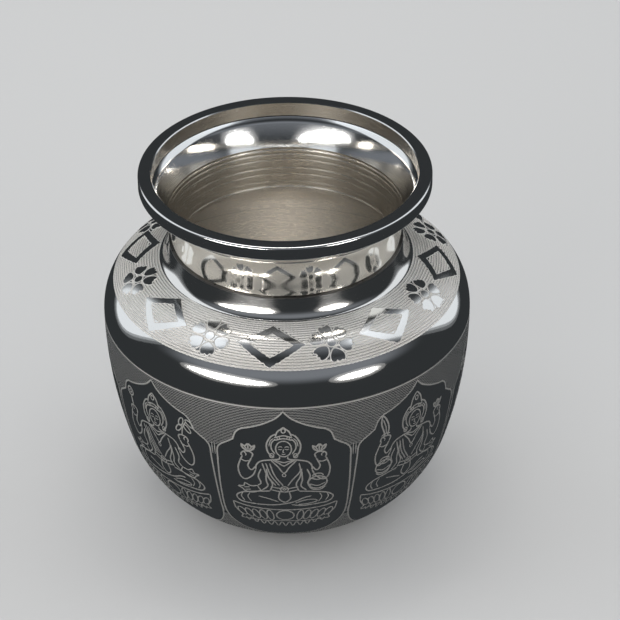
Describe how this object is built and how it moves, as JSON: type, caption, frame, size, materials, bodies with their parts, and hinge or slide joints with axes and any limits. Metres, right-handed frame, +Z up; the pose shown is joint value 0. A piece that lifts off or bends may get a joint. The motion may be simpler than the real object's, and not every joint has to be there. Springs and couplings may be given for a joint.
{
  "type": "lota water pot",
  "caption": "Round-bodied metal water pot with a domed shoulder, a short flared neck, a half-oval rim and a low foot ring.",
  "frame": {"origin": "centre of the plane that the foot ring stands on", "axes": "+Z up along the axis that every piece is turned about; X and Y are free, as the pot is round"},
  "size_m": [0.11, 0.11, 0.1137],
  "materials": {
    "engraved_body": "polished",
    "polished_metal": "polished",
    "solder": "satin"
  },
  "bodies": {
    "root": {"bowl": "engraved_body", "shoulder": "engraved_body", "neck": "polished_metal", "rim_ring": "polished_metal", "foot_ring": "polished_metal", "belly_solder": "solder", "neck_solder": "solder", "rim_solder": "solder", "foot_solder": "solder"}
  },
  "joints": []
}
